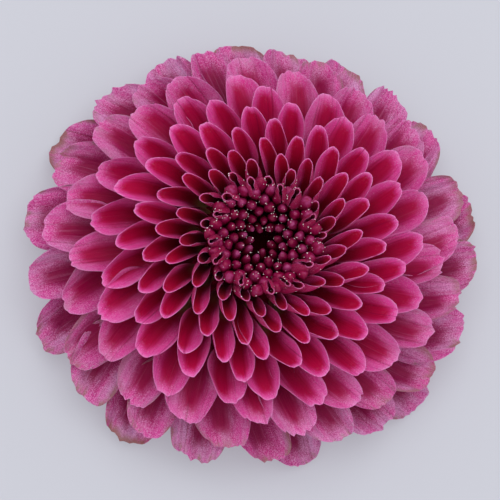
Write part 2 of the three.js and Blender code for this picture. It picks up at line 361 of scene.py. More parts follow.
def floret(index):
    """One floret's numbers: the solids' rule, and what only its looks need."""
    closed = index < CLOSED_FLORETS
    rank = index - CLOSED_FLORETS
    age = clamp(rank / OPEN_FLORETS)
    inner = clamp((index + 0.5) / CLOSED_FLORETS) ** PATCH_SPREAD
    stray = lerp(*STRAY, age)
    open_fan = lerp(CROWN_FAN, SKIRT_FAN, age) + stray * WAYWARD["fan"] * draw(rank, FAN)
    fan = CROWN_FAN * inner if closed else open_fan
    turn = math.radians(FIRST_OPEN_TURN - GOLDEN_ANGLE * rank + stray * WAYWARD["turn"] * draw(rank, TURN))
    rim_rank = max(0, rank - OPEN_FLORETS + RIM_FLORETS)
    open_tip_r = PATCH_RADIUS + TIP_STEP * (rank - rim_rank) + RIM_TIP_STEP * rim_rank
    tip_r = PATCH_RADIUS * inner if closed else open_tip_r
    tip_r = tip_r * (1 + OVAL * math.cos(2 * turn) * age)
    closed_rise = lerp(EYE_HEIGHT, CROWN_HEIGHT, inner ** PIT_CURVE)
    rise = closed_rise if closed else tip_r / math.tan(math.radians(fan))
    tip_z = max(LOWEST_TIP_Z, HEART_Z + rise)
    open_lean = fan - lerp(CROWN_UPTURN, -SKIRT_DOWNTURN, age) + stray * WAYWARD["tip"] * draw(rank, TIP)
    tip_lean = leaning(lerp(-EYE_NOD, PATCH_TILT, inner) if closed else open_lean)
    share = math.sqrt(index / FLORETS)
    root_r = RECEPTACLE_RADIUS * share
    root_z = HEART_Z + RECEPTACLE_RISE * (1 - share * share)
    root_lean = leaning(ROOT_LEAN * fan)
    length = math.hypot(tip_r - root_r, tip_z - root_z)
    handle = HANDLE * length
    girth = lerp(CROWN_GIRTH, SKIRT_GIRTH, age) * (1 + WAYWARD["girth"] * draw(rank, GIRTH))
    hood = HOOD["start"] - (rank + HOOD["split"]) / HOOD["florets"]
    scoop = lerp(SCOOP["crown"], SCOOP["middle"], ease(age, *SCOOP_AGES[0]))
    scoop = lerp(scoop, SCOOP["skirt"], ease(age, *SCOOP_AGES[1]))
    notch = lerp(NOTCH["crown"], NOTCH["skirt"], ease(age, *NOTCH["ages"]))
    ruffle = lerp(RUFFLE["crown"], RUFFLE["skirt"], ease(age, *RUFFLE["ages"]))
    return {
        "number": float(index),
        "age": age,
        "inner": inner if closed else 1.0,
        "tone": draw(rank, TONE),
        "turn": turn,
        "root": (root_r, 0.0, root_z),
        "foot": (root_r + handle * root_lean[0], 0.0, root_z + handle * root_lean[1]),
        "hook": (tip_r - handle * tip_lean[0], 0.0, tip_z - handle * tip_lean[1]),
        "tip": (tip_r, 0.0, tip_z),
        "length": length,
        "girth": girth * lerp(*WIDENED, ease(age, WIDENS_FROM, WIDENS_TO)),
        "roll": math.radians(lerp(CROWN_ROLL, SKIRT_ROLL, age ** ROLL_CURVE)),
        "bow": SWIRL * length * (1 + WAYWARD["swirl"] * draw(rank, BOW)),
        "twist": math.radians(stray * WAYWARD["twist"] * draw(rank, TWIST)),
        "hood": clamp(hood + HOOD["stray"] * draw(rank, HOODED)),
        "scoop": scoop + SCOOP["stray"] * draw(rank, SCOOPED),
        "notch": notch * (1 + NOTCH["stray"] * draw(rank, NOTCHED)),
        "ruffle": ruffle * (1 + RUFFLE["stray"] * draw(rank, RUFFLED)),
    }


# ---- trees of the florets -------------------------------------------------------------------------
# A course is the pair of ages, or of shares of the length, between which a value changes. Where two more
# numbers follow, they are the value at either end. Sizes are in mm.

CHANNEL = 0.42  # the share of a petal's width that is the dark channel along its middle
CHANNELLED = (0.03, 0.22)  # ages: the tube gets a channel
WALL_STEEPNESS = (0.3, 1.0, 0.5, 0.56)  # ages: the channel's walls, as a share of the roll
WALL_AT_FOOT = (0.35, 0.7, 1.0, 0.5)  # ages: the walls are flatter where older petals are covered
WALL_RISES = (0.6, 0.88)  # shares: and reach their full steepness here
MARGIN_CURL = (0.1, 0.8, 0.55, 0.2)  # ages: how far the margins curl in
NICK_WIDTH, NICK_DEPTH, NICK_SHIFT, NICK_SWAY = 0.13, 0.25, 0.12, 2.3  # the nick near the middle of the end
RAGGED = {"counts": (5.0, 3.1, 0.0), "from": 0.35, "depth": 4.0}  # the smaller nicks along the end
UNNICKED = (0.95, 0.5)  # nicks fade out towards the margins
BLUNTNESS = (0.25, 0.75, 2.0, 2.4)  # ages: power of the curve that rounds the end
END_REACH = (0.3, 0.8, 0.52, 0.4)  # ages: how far the rounded end reaches, in girths
HOODED_END = 0.84  # how much of that a hood takes away
ROWS_CROWD = 1.45  # power by which the blank's rows crowd towards the tip
OPENS = (0.4, 0.82)  # shares: from a tube to the floret's own roll
HOOD_ROLL = 174.0  # degrees: a hooded floret is nearly shut
HOOD_SHUTS = (0.98, 0.88)  # shares: all the way up to its mouth
FOOT_WIDENS = (0.0, 0.32)
WIDENS_AT = 0.3  # share: from here its foot's width grows to its full one
FULL_WIDTH_AT = (0.5, 0.8, 0.88, 0.8)  # ages: the share of the length where a petal is widest
TIP_TAPER = (0.8, 1.0, 0.0, 0.16)
HEAD_CAP, HEAD_NARROWEST = 0.86, 0.4  # where a hooded floret's head rounds off, and to what share
HEAD_SWELLS = (0.7, 0.86, 1.0, 1.36)  # shares: where it swells out of its neck
WAVES, WAVE_DEPTH = (0.8, 4.0, 7.3), 0.35  # of the margins
TIP_THINS = (0.7, 1.0, 0.0, 0.7)
HOOD_THICKNESS = 0.5  # how much less a hooded tip thins
HALF_GIRTH = 0.45  # from the midrib to a margin over the skin of an open petal, as a share of its girth
GROOVES_BEGIN = (0.55, 0.85)  # shares: the blade is grooved from here
GROOVES_DEEPEN = (0.18, 0.66, 0.3, 1.0)  # ages: and more deeply on older petals
GROOVE_TURNS = 9.4  # of their wave, in radians from the midrib to a margin
FOLDS, FOLD_DEPTH = (1.3, 5.0, 3.7), 2.8
CREASES, CREASE_DEPTH = (5.0, 2.2, 6.1), 3.2
RUFFLED_FROM = (0.5, 1.0)
SCOOP_BENDS, SCOOP_DEPTH = (0.74, 1.06), 1.6
PEAK = (2.4, 0.4)  # mm from the tip: where glands may stand
PEAK_AGES = (0.16, 0.04)  # and none stand on older petals
LOWEST_Z = 0.35  # nothing of a floret or a bract comes lower


def midrib(net, t):
    """Where the midrib is at a share of its length, and which way it runs, as (r, z) pairs."""
    points = [net.read(name, "FLOAT_VECTOR") for name in ("root", "foot", "hook", "tip")]
    while len(points) > 2:
        points = [net.blend(a, b, t) for a, b in zip(points, points[1:])]
    run = net.vectors("NORMALIZE", net.vectors("SUBTRACT", points[1], points[0]))
    place_r, _, place_z = net.split(net.blend(points[0], points[1], t))
    run_r, _, run_z = net.split(run)
    return place_r, place_z, run_r, run_z


def stood(net, t, lateral, inwards):
    """The place of a point that is so far to the side of a floret's midrib and so far to its inner side."""
    place_r, place_z, run_r, run_z = midrib(net, t)
    r = place_r - run_z * inwards
    z = net.most(place_z + run_r * inwards, LOWEST_Z)
    turn = net.read("turn")
    c, s = net.cos(turn), net.sin(turn)
    return net.join((r * c - lateral * s) * MM, (r * s + lateral * c) * MM, z * MM)


def flat_blank(net):
    """A closed slab of two faces, 2 across and 1 along, with the columns and rows that the tree is given."""
    return net.node("GeometryNodeMeshCube", (), {"Size": (2.0, 1.0, 2.0), "Vertices X": net["Columns"],
                                                 "Vertices Y": net["Rows"], "Vertices Z": 2})


def petal_end(net, across, wall, channelled):
    """Where along its length a petal ends: rounded as the eye sees it from above, and nicked."""
    number, age, hood, length, girth = net.reads("number", "age", "hood", "length", "girth")
    floor = net.least(net.most(across, -CHANNEL), CHANNEL)
    shown = net.sin(floor * wall / CHANNEL) * CHANNEL / wall + (across - floor) * net.cos(wall)
    shown = shown / (net.sin(wall) * CHANNEL / wall + net.cos(wall) * (1 - CHANNEL))
    nick = net.ease(abs(across + net.sin(number * NICK_SWAY) * NICK_SHIFT), NICK_WIDTH, 0.0) * NICK_DEPTH
    ragged = net.pattern((across, number, 0.0), RAGGED["counts"], 3.0, 0.6) - RAGGED["from"]
    nick = nick + net.most(ragged, 0.0) * net.read("notch") * RAGGED["depth"]
    nick = nick * net.ease(abs(across), *UNNICKED) / length
    blunt = net.ease(age, *BLUNTNESS)
    rounded = 1 - net.most(1 - abs(shown) ** blunt, 0.0) ** (1 / blunt)
    quill = (1 - net.cos(across * net.read("roll"))) / (1 - net.cos(net.read("roll")))
    reach = girth / length * net.ease(age, *END_REACH) * (1 - hood * HOODED_END)
    return 1 - reach * net.between(quill, rounded, channelled) - nick


def petal_girth(net, across, along, end):
    """How wide a petal is, laid flat: from its foot to its blade, or to a hooded floret's round head."""
    number, age, hood = net.reads("number", "age", "hood")
    girth = net.between(net["RootGirth"], net["FootGirth"], net.ease(along, *FOOT_WIDENS))
    girth = net.between(girth, net.read("girth"), net.ease(along, WIDENS_AT, net.ease(age, *FULL_WIDTH_AT)))
    girth = girth * (1 - net.ease(along, *TIP_TAPER))
    cap = net.most(along / end - HEAD_CAP, 0.0) / (1 - HEAD_CAP)
    head = net.sqrt(net.most(1 - cap * cap, HEAD_NARROWEST ** 2)) * net.ease(along, *HEAD_SWELLS)
    girth = girth * net.between(1.0, head, hood)
    waves = net.pattern((across, along, number), WAVES)
    return girth * (1 + (waves - 0.5) * age * WAVE_DEPTH)


def petal_tree():
    """Bends a closed blank, one for each seed, to a tube that opens to a spoon or a flat petal."""
    net = Shaper("petals", Columns=17, Rows=24, RootGirth=2.2, FootGirth=FOOT_GIRTH, MidribThickness=0.28,
                 MarginThickness=0.05, Grooves=0.06, Surface=None)
    petals = net.stand(flat_blank(net))
    x, y, face = net.split(net.read("blank", "FLOAT_VECTOR"))
    number, age, hood, length = net.reads("number", "age", "hood", "length")

    # across runs from margin to margin, and along from the root to the rounded, nicked end
    across = net.sin(x * (-math.pi / 2))
    wall = net.read("roll") * net.ease(age, *WALL_STEEPNESS)
    channelled = net.ease(age, *CHANNELLED)
    end = petal_end(net, across, wall, channelled)
    along = end * (1 - net.most(0.5 - y, 0.0) ** ROWS_CROWD)

    open_share = net.ease(along, *OPENS)
    roll = net.between(math.radians(FOOT_ROLL), net.read("roll"), open_share)
    roll = net.between(roll, math.radians(HOOD_ROLL), hood * net.ease(along, *HOOD_SHUTS))
    girth = petal_girth(net, across, along, end)
    radius = girth / (roll * 2)
    thick = net.between(net["MidribThickness"], net["MarginThickness"], across * across)
    lift = thick * (1 - net.ease(along, *TIP_THINS) * (1 - hood * HOOD_THICKNESS)) * (face * 0.5 + 0.5)
    bend = roll * across

    # a tube at its foot, and where it is open a channel between flared walls whose margins curl in
    half = girth * HALF_GIRTH
    wall = wall * net.ease(along, *WALL_RISES, net.ease(age, *WALL_AT_FOOT), 1.0)
    floor = net.least(net.most(across, -CHANNEL), CHANNEL)
    turn_up = floor * wall / CHANNEL
    beyond = (across - floor) * half
    curl = beyond * abs(beyond) / half * net.ease(age, *MARGIN_CURL)
    bottom = half * CHANNEL / wall  # radius of the channel's round bottom
    channel_side = (bottom - lift) * net.sin(turn_up) + beyond * net.cos(wall) - curl * net.sin(wall)
    channel_rise = bottom * (1 - net.cos(turn_up)) + lift * net.cos(turn_up)
    channel_rise = channel_rise + abs(beyond) * net.sin(wall) + abs(curl) * net.cos(wall)
    spread = open_share * channelled
    side = net.between((radius - lift) * net.sin(bend), channel_side, spread)
    rise = net.between(radius - (radius - lift) * net.cos(bend), channel_rise, spread)

    # grooves along the blade, folds and creases in the oldest, and the scooped tip
    grooves = net.cos(across * GROOVE_TURNS) * net["Grooves"] * net.ease(along, *GROOVES_BEGIN)
    rise = rise + grooves * net.ease(age, *GROOVES_DEEPEN)
    folds = net.pattern((across, along, number), FOLDS, 3.0, 0.55)
    creases = net.pattern((across, along, number), CREASES, 2.0, 0.6)
    ruffles = ((folds - 0.5) * FOLD_DEPTH + (creases - 0.5) * CREASE_DEPTH) * net.read("ruffle")
    rise = rise + ruffles * net.ease(along, *RUFFLED_FROM)
    rise = rise + net.read("scoop") * net.ease(along, *SCOOP_BENDS) * SCOOP_DEPTH

    twist = net.read("twist") * along
    c, s = net.cos(twist), net.sin(twist)
    lateral = side * c - rise * s - net.read("bow") * 4 * along * (1 - along)
    place = stood(net, along, lateral, side * s + rise * c)

    shaped = net.node("GeometryNodeSetPosition", (), {"Geometry": petals, "Position": place})
    tipward = (end - along) * length
    margin = net.least((1 - abs(across)) * girth * 0.5, tipward)
    peak = net.ease(tipward, *PEAK) * (0.5 - face * 0.5) * net.ease(age, *PEAK_AGES)
    return net.finish(net.keep(shaped, along=along, across=across, face=face, margin=margin, tipward=tipward,
                               peak=peak))


HEAD_NECK = 0.6  # where a closed floret's head begins below its tip, in its own lengths
EYE_REACH = 0.02  # how far past the midrib's end the innermost heads come, as a share of its length
STALK_CURVE, STALK_FOOT = 1.6, 0.25  # how the stalk is drawn out, and the share of the length where it starts
STALK_NARROWS = (0.1, 0.9, 1.0, 0.55)
HEAD_FOLDS, HEAD_FOLD_DEPTH, FOLD_TWIST = 1.5, 0.13, 1.2
FOLDS_BEGIN = (-0.6, 0.3)
DENT_SCALE, DENT_STEP, DENT_DEPTH = 1.1, 1.7, 0.6
CROWN_POWER, CROWN_ROOT = 1.7, 0.62  # the curve of the head's top


def bud_tree():
    """Draws out a ball, one for each seed, to a closed floret: a stalk with a creased, rounded head."""
    net = Shaper("buds", Segments=20, Rings=18, Slimness=2.6, Surface=None)
    blank = net.node("GeometryNodeMeshUVSphere", (), {"Segments": net["Segments"], "Rings": net["Rings"],
                                                      "Radius": 1.0})
    buds = net.stand(blank)
    ball = net.read("blank", "FLOAT_VECTOR")
    x, y, z = net.split(ball)
    bud, length, number, inner = net.reads("bud", "length", "number", "inner")
    rim = net.sqrt(x * x + y * y)
    up, down = net.most(z, 0.0), net.most(z * -1, 0.0)
    neck = 1 - bud * net["Slimness"] * HEAD_NECK / length
    reach = 1 + EYE_REACH - inner * EYE_REACH
    along = neck + up * (reach - neck) - (down ** STALK_CURVE) * (neck - STALK_FOOT)
    around = net.maths("ARCTAN2", y, x)
    folds = abs(net.cos(around * HEAD_FOLDS + number + z * FOLD_TWIST)) * HEAD_FOLD_DEPTH
    folds = folds * net.ease(z, *FOLDS_BEGIN)
    dents = net.noise(net.vectors("ADD", ball, net.join(number * DENT_STEP, 0.0, 0.0)), DENT_SCALE, 1.0)
    crown = net.most(1 - up ** CROWN_POWER, 0.0) ** CROWN_ROOT
    dented = 1 - DENT_DEPTH / 2 + dents * DENT_DEPTH
    radius = bud * crown * net.ease(down, *STALK_NARROWS) * (1 - folds) * dented
    place = stood(net, along, x / rim * radius, y / rim * radius)
    shaped = net.node("GeometryNodeSetPosition", (), {"Geometry": buds, "Position": place})
    return net.finish(net.keep(shaped, peak=up - down))


GLANDS_FROM = 0.15  # how near the peak of a floret glands begin
GLAND_SIZES = (0.6, 1.4)


def gland_tree():
    """Strews tiny round glands over the young florets."""
    net = Shaper("glands", PerSquareMetre=8e5, Radius=0.08, Seed=7, Surface=None)
    near = net.maths("GREATER_THAN", net.read("peak"), GLANDS_FROM)
    points = net.node("GeometryNodeDistributePointsOnFaces", (), {
        "Mesh": net["Geometry"], "Density": net["PerSquareMetre"] * near, "Seed": net["Seed"]})
    ball = net.node("GeometryNodeMeshIcoSphere", (), {"Radius": net["Radius"] * MM, "Subdivisions": 1})
    size = net.node("FunctionNodeRandomValue", {"data_type": "FLOAT"},
                    {"Min_001": GLAND_SIZES[0], "Max_001": GLAND_SIZES[1], "Seed": 3}, 1)
    placed = net.node("GeometryNodeInstanceOnPoints", (), {"Points": points, "Instance": ball, "Scale": size})
    return net.finish(net.node("GeometryNodeRealizeInstances", (), {0: placed}))


# ---- materials ------------------------------------------------------------------------------------


def ink(red, green, blue):
    """A colour from its levels on a screen, 0 to 255."""
    def linear(level):
        level /= 255
        return level / 12.92 if level <= 0.04045 else ((level + 0.055) / 1.055) ** 2.4
    return linear(red), linear(green), linear(blue), 1.0


class Finish(Net):
    """A material under construction, whose constant values go straight on the shader."""

    def __init__(self, name, **constants):
        self.material = bpy.data.materials.new(name)
        self.material.use_nodes = True
        super().__init__(self.material.node_tree)
        self.shader = next(n for n in self.tree.nodes if n.type == "BSDF_PRINCIPLED")
        for key, value in constants.items():
            pick(self.shader.inputs, key.replace("_", " ")).default_value = value

    def read(self, name):
        settings = {"attribute_type": "GEOMETRY", "attribute_name": name}
        return self.node("ShaderNodeAttribute", settings, (), "Fac")

    def place(self):
        return self.node("ShaderNodeTexCoord", (), (), "Object")

    def speckle(self, scale, detail=3.0, roughness=0.6):
        """Noise in space, so many times to the metre."""
        return self.noise(self.place(), scale, detail, roughness)

    def bump(self, height, strength, distance):
        return self.node("ShaderNodeBump", (), {"Strength": strength, "Distance": distance, "Height": height})

    def set(self, **links):
        for key, value in links.items():
            self.tree.links.new(value.socket, pick(self.shader.inputs, key.replace("_", " ")))
        return self.material


FLESH_GLOW = (1.0, 0.25, 0.5)  # how much further red light spreads under the skin than green and blue

# colours of the petals; a pair is the colour deep inside or early, and the one at the mouth or late
# the throats are darker deeper in the tube, and nearly black inside a hooded floret's mouth: painted shade
YOUNG_THROAT = (ink(126, 0, 22), ink(188, 2, 54))
GROWN_THROAT = (ink(138, 2, 40), ink(184, 4, 68))
OLD_THROAT = ink(136, 6, 74)
SHUT_THROAT_SHADE = ink(58, 0, 14)
BAND = (ink(226, 34, 134), ink(238, 66, 164))
# the band pales towards the margins: painted highlight on their crests
BAND_EDGE_HIGHLIGHT = ink(242, 122, 192)
# the old bands' pale mauve clouds are partly pale patches and partly painted sheen
OLD_BAND = (ink(210, 52, 146), ink(212, 146, 196))
HOOD_BAND = ink(162, 2, 66)
# the back's darker foot is painted shade where neighbours cover it
SHADED_BACK_FOOT = ink(136, 2, 44)
BACK = (ink(188, 16, 90), ink(212, 56, 142))
HOOD_BACK = ink(136, 0, 56)
BACK_STREAK = (ink(192, 40, 124), ink(216, 116, 180))
OLIVE_FOOT = ink(150, 118, 76)
# pale rim: partly the margin's own paleness, partly painted highlight
PALE_RIM_HIGHLIGHT = ink(228, 140, 200)
PALE_VEIN = ink(232, 158, 210)
DARK_VEIN = ink(134, 0, 62)
# the colour of painted glints and sheen
PAINTED_GLINT = ink(234, 172, 216)
DARK_GRAIN = ink(126, 0, 60)
BROWNED = ink(134, 96, 66)

# how fast the petals' patterns change across, along and from one petal to the next
VEINS = (9.0, 1.3, 5.1)
CLOUDS = (1.6, 4.0, 2.9)
FINE_CREASES = (5.0, 9.0, 4.3)

# how many times to the metre the speckles of the florets change
GRAIN, COARSE_SPECKLE, GLITTER, MOTTLE, BUD_GRAIN = 7500.0, 3000.0, 9500.0, 1500.0, 6000.0


def throat_and_band(net, band, along, margin, hood, mid, old, veins, cloud, grain):
    """The inner face of a petal: its channel, darkened deep inside by painted shade, and the pink band that
    borders it, partly painted light where its walls rise.
    """
    young = net.shade(*YOUNG_THROAT, net.ease(along, 0.6, 0.97))
    grown = net.shade(net.shade(*GROWN_THROAT, net.ease(along, 0.6, 0.9)), OLD_THROAT, old)
    # the throat's colour, darker down the tube and in hooded mouths: painted shade
    deep = net.shade(net.shade(young, grown, mid), SHUT_THROAT_SHADE, hood * 0.8)
    # paler towards the margins: painted highlight on their crests
    edge = net.ease(margin, net.between(0.06, 0.8, mid), 0.01)
    edge = edge * net.ease(veins + grain * 0.3, 0.45, 0.75, 0.35, 1.0)
    pink = net.shade(net.shade(*BAND, mid), BAND_EDGE_HIGHLIGHT, edge)
    # pale mauve clouds on old bands: partly pale patches, partly painted sheen
    pink = net.shade(pink, net.shade(*OLD_BAND, net.ease(cloud + grain * 0.2, 0.46, 0.78)), old)
    return net.shade(deep, net.shade(pink, HOOD_BAND, hood * 0.8), band)


def back_of_petal(net, along, hood, mid, veins):
    """The outer face of a petal, crimson, darkened at its foot by painted shade where its neighbours cover
    it, and streaked with pink.
    """
    skin = net.shade(net.shade(SHADED_BACK_FOOT, net.shade(*BACK, mid), net.ease(along, 0.5, 0.85)), HOOD_BACK, hood)
    streak = net.ease(veins, 0.4, 0.7) * net.ease(along, 0.55, 0.9) * net.between(0.4, 0.8, mid)
    return net.shade(skin, net.shade(*BACK_STREAK, mid), streak * (1 - hood * 0.85))


def petal_finish():
    """Channels deepened by painted shade between pink bands partly painted light, with pale rims partly
    painted highlight, veins, painted glints, and browned edges on the oldest.
    """
    net = Finish("petal skin", Subsurface_Weight=0.12, Subsurface_Scale=0.0006, Subsurface_Radius=FLESH_GLOW,
                 Specular_IOR_Level=0.2, Sheen_Weight=0.06, Sheen_Roughness=0.35,
                 Sheen_Tint=ink(244, 176, 220))
    along, across, face, margin, tipward = net.reads("along", "across", "face", "margin", "tipward")
    number, age, tone, hood = net.reads("number", "age", "tone", "hood")
    surface = (across, along, number)
    veins = net.pattern(surface, VEINS, 3.0, 0.6)
    cloud = net.pattern(surface, CLOUDS, 4.0, 0.65)
    creases = net.pattern(surface, FINE_CREASES, 3.0, 0.6, 0.6)
    grain, coarse_speckle = net.speckle(GRAIN, 2.0, 0.7), net.speckle(COARSE_SPECKLE, 3.0, 0.8)
    glitter = net.speckle(GLITTER, 1.0, 0.5)
    old = net.ease(age, 0.45, 0.98)
    mid = net.ease(age, 0.04, 0.46)

    # the band is where the petal is far enough from its midrib or near enough to its tip; the dark channel
    # that it borders is painted shade in the hollow, and the band is partly painted light on the rising walls
    mouth = net.ease(along, 0.55, 0.75)
    waver = (veins - 0.5) * 0.25 + (cloud - 0.5) * net.between(0.1, 0.5, old)
    spread = net.between(0.5, 3.4, net.ease(age, 0.15, 0.95))
    dark = net.ease(age, 0.15, 0.85, CHANNEL, 0.26) * net.ease(tipward, 0.0, spread * 1.7)
    off_midrib = abs(across + tone * 0.12 * mid) + waver
    wall = net.ease(off_midrib, dark - 0.12, dark + net.ease(age, 0.1, 0.6, 0.25, 0.55))
    band = net.most(wall, net.ease(tipward + waver * 3.0, spread, spread * 0.1)) * mouth

    inside = throat_and_band(net, band, along, margin, hood, mid, old, veins, cloud, grain)
    outside = back_of_petal(net, along, hood, mid, veins)
    skin = net.shade(outside, inside, net.ease(face, -0.2, 0.2))
    olive = net.most(net.ease(along, 0.42, 0.2), net.ease(along, 0.6, 0.44) * net.ease(tone, 0.1, 0.6))
    skin = net.shade(skin, OLIVE_FOOT, olive)

    # the pale rim, partly the margin's own paleness and partly painted highlight, and the veins
    rim = net.ease(margin, net.between(0.028, 0.2, old), 0.0) * mouth * net.ease(veins, 0.3, 0.7, 0.1, 0.85)
    skin = net.shade(skin, PALE_RIM_HIGHLIGHT, rim * (1 - hood * 0.5))
    skin = net.shade(skin, PALE_VEIN, net.ease(veins, 0.55, 0.8, 0.0, 0.3) * old)
    skin = net.shade(skin, DARK_VEIN, net.ease(veins, 0.48, 0.24, 0.0, 0.62) * mid)

    # painted glints and sheen on the bands and near the margins, dark grain between them, and browned edges
    painted_glints = net.ease(grain, 0.5, 0.62) * net.between(0.1, 0.5, old) * net.ease(band + old * 0.4, 0.3, 1.0)
    painted_glints = painted_glints + net.ease(coarse_speckle, 0.52, 0.64) * net.between(0.12, 0.6, old) * net.ease(margin, 3.0, 0.2)
    painted_glints = painted_glints + net.ease(glitter, 0.64, 0.7) * net.ease(band, 0.3, 0.8) * 0.9
    skin = net.shade(skin, PAINTED_GLINT, net.least(painted_glints, 0.8) * (1 - hood * 0.8))
    skin = net.shade(skin, DARK_GRAIN, net.ease(grain, 0.48, 0.36) * old * 0.5)
    wilt = net.ease(cloud + coarse_speckle * 0.3 + tone * 0.12, 0.63, 0.78) * net.ease(age, 0.6, 0.95)
    skin = net.shade(skin, BROWNED, net.ease(margin, 1.6, 0.1) * wilt * 0.8)

    rough = net.ease(grain, 0.3, 0.7, 0.62, 0.42) - hood * 0.14
    relief = net.bump(veins + grain * 0.35 + (veins + creases * 2.0) * old, 0.6, 0.0002)
    return net.set(Base_Color=skin, Roughness=rough, Normal=relief)


def bud_finish():
    """Crimson heads with a pale mottle on top that is partly painted highlight, on stalks darkened downwards
    by painted shade.
    """
    net = Finish("young floret skin", Subsurface_Weight=0.1, Subsurface_Scale=0.0005,
                 Subsurface_Radius=FLESH_GLOW, Specular_IOR_Level=0.25)
    peak, tone, inner = net.reads("peak", "tone", "inner")
    mottle, grain = net.speckle(MOTTLE), net.speckle(BUD_GRAIN, 2.0)
    top = net.shade(ink(104, 6, 46), ink(138, 4, 62), net.ease(inner, 0.1, 0.8))
    # darker down the stalk and sides: painted shade
    skin = net.shade(ink(78, 0, 16), top, net.ease(peak, -0.3, 0.7))
    # pale on top: partly mottle, partly painted highlight
    pale = net.ease(mottle + tone * 0.16, 0.4, 0.72, 0.0, 0.5) * net.ease(peak, 0.3, 0.95)
    skin = net.shade(skin, ink(182, 76, 142), pale)
    return net.set(Base_Color=skin, Roughness=net.ease(grain, 0.3, 0.7, 0.5, 0.3),
                   Normal=net.bump(mottle + grain * 0.3, 0.4, 0.00008))


def gland_finish():
    net = Finish("gland", Roughness=0.2, Coat_Weight=0.5)
    tint = net.speckle(3000.0, 1.0, 0.5)
    return net.set(Base_Color=net.shade(ink(255, 250, 248), ink(244, 214, 226), net.ease(tint, 0.4, 0.7)))


def bract_finish():
    """Green scales, streaked along their length, with papery brown edges."""
    net = Finish("bract skin", Subsurface_Weight=0.1, Subsurface_Scale=0.0006, Specular_IOR_Level=0.35)
    dark, light, edge = ink(70, 96, 36), ink(120, 146, 66), ink(150, 128, 84)
    across, along, number = net.reads("across", "along", "number")
    streaks = net.pattern((across, along, number), (7.0, 1.5, 3.3), 3.0, 0.6)
    speckle = net.speckle(2600.0)
    skin = net.shade(dark, light, net.ease(streaks, 0.35, 0.7))
    skin = net.shade(skin, light, net.ease(speckle, 0.5, 0.8, 0.0, 0.5))
    skin = net.shade(skin, edge, net.ease(abs(across), 0.62, 0.95) * 0.85)
    return net.set(Base_Color=skin, Roughness=net.ease(speckle, 0.3, 0.7, 0.7, 0.5),
                   Normal=net.bump(streaks + speckle * 0.4, 0.5, 0.0001))


def cup_finish():
    net = Finish("cup skin", Specular_IOR_Level=0.3)
    speckle = net.speckle(1800.0)
    return net.set(Base_Color=net.shade(ink(84, 112, 44), ink(124, 148, 70), net.ease(speckle, 0.35, 0.7)),
                   Roughness=net.ease(speckle, 0.3, 0.7, 0.75, 0.55), Normal=net.bump(speckle, 0.4, 0.0001))


# where the pit's painted shade begins and where it is full
PIT_EDGE, PIT_HEART = 0.004, 0.002  # metres from the axis


def bed_finish():
    """Dark crimson, partly painted shade for the shaded feet of the florets seen between them, and darker in
    the pit at the eye with painted shade.
    """
    net = Finish("receptacle skin", Roughness=0.8, Specular_IOR_Level=0.0)
    x, y, _ = net.split(net.place())
    speckle = net.speckle(1500.0)
    # dark crimson, partly painted shade for the shaded feet of the florets seen in the gaps
    skin = net.shade(ink(80, 0, 20), ink(126, 4, 44), net.ease(speckle, 0.35, 0.7))
    # darker in the pit: painted shade
    pit = net.ease(net.sqrt(x * x + y * y), PIT_EDGE, PIT_HEART)
    return net.set(Base_Color=net.shade(skin, ink(58, 4, 12), pit), Normal=net.bump(speckle, 0.4, 0.0001))


CUT_FACE = (0.00006, 0.0002)  # metres above the cut end, between which pith gives way to bark


def stem_finish():
    """Streaked green bark, and pale pith where the stem is cut."""
    net = Finish("stem skin", Specular_IOR_Level=0.35)
    x, y, z = net.split(net.place())
    radius = net.sqrt(x * x + y * y) / (STEM_RADIUS * MM)
    around = net.maths("ARCTAN2", y, x)
    streaks = net.pattern((net.cos(around), net.sin(around), z), (9.0, 9.0, 180.0), 3.0, 0.6)
    fibres = net.speckle(3800.0, 3.0, 0.65)
    bark = net.shade(ink(92, 120, 52), ink(142, 162, 88), net.ease(streaks, 0.35, 0.7))
    outwards = net.ease(radius + (fibres - 0.5) * 0.3, 0.35, 0.8)
    pith = net.shade(ink(222, 226, 190), ink(188, 200, 140), outwards)
    pith = net.shade(pith, ink(136, 150, 84), net.ease(radius + (fibres - 0.5) * 0.2, 0.8, 0.95))
    skin = net.shade(pith, bark, net.ease(z, *CUT_FACE))
    return net.set(Base_Color=skin, Roughness=net.ease(fibres, 0.3, 0.7, 0.75, 0.5),
                   Normal=net.bump(streaks + fibres * 0.5, 0.5, 0.0001))


# ---- pieces ---------------------------------------------------------------------------------------

SPLIT_FROM = CLOSED_FLORETS - HOOD["split"]  # closed florets that have begun to split
SPOONS_FROM = 40  # ranks at which the rings of open florets begin
PETALS_FROM = 84
SKIRT_FROM = 122
# each ring's first rank, the rank that it stops before, and the form that its petals start from
RINGS = {
    "split_florets": (-HOOD["split"], 0,
                      {"Columns": 25, "Rows": 40, "MarginThickness": 0.1, "Grooves": 0.0}),
    "cup_florets": (0, SPOONS_FROM, {"Columns": 19, "Rows": 34, "Grooves": 0.03, "FootGirth": 3.9}),
    "spoon_florets": (SPOONS_FROM, PETALS_FROM, {"Columns": 19, "Rows": 30, "FootGirth": 3.6}),
    "petal_florets": (PETALS_FROM, SKIRT_FROM, {"Columns": 23, "Rows": 32}),
    "skirt_florets": (SKIRT_FROM, OPEN_FLORETS, {"Columns": 25, "Rows": 34}),
}


def bud_seeds(first, last):
    rows = []
    for index in range(first, last):
        row = floret(index)
        size = lerp(BUD_RADIUS["eye"], BUD_RADIUS["edge"], row["inner"])
        row["bud"] = size * (1 + BUD_RADIUS["stray"] * draw(index - CLOSED_FLORETS, BUD))
        rows.append(row)
    return seeds(rows)


def petal_seeds(first, last):
    return seeds([floret(index) for index in range(CLOSED_FLORETS + first, CLOSED_FLORETS + last)])


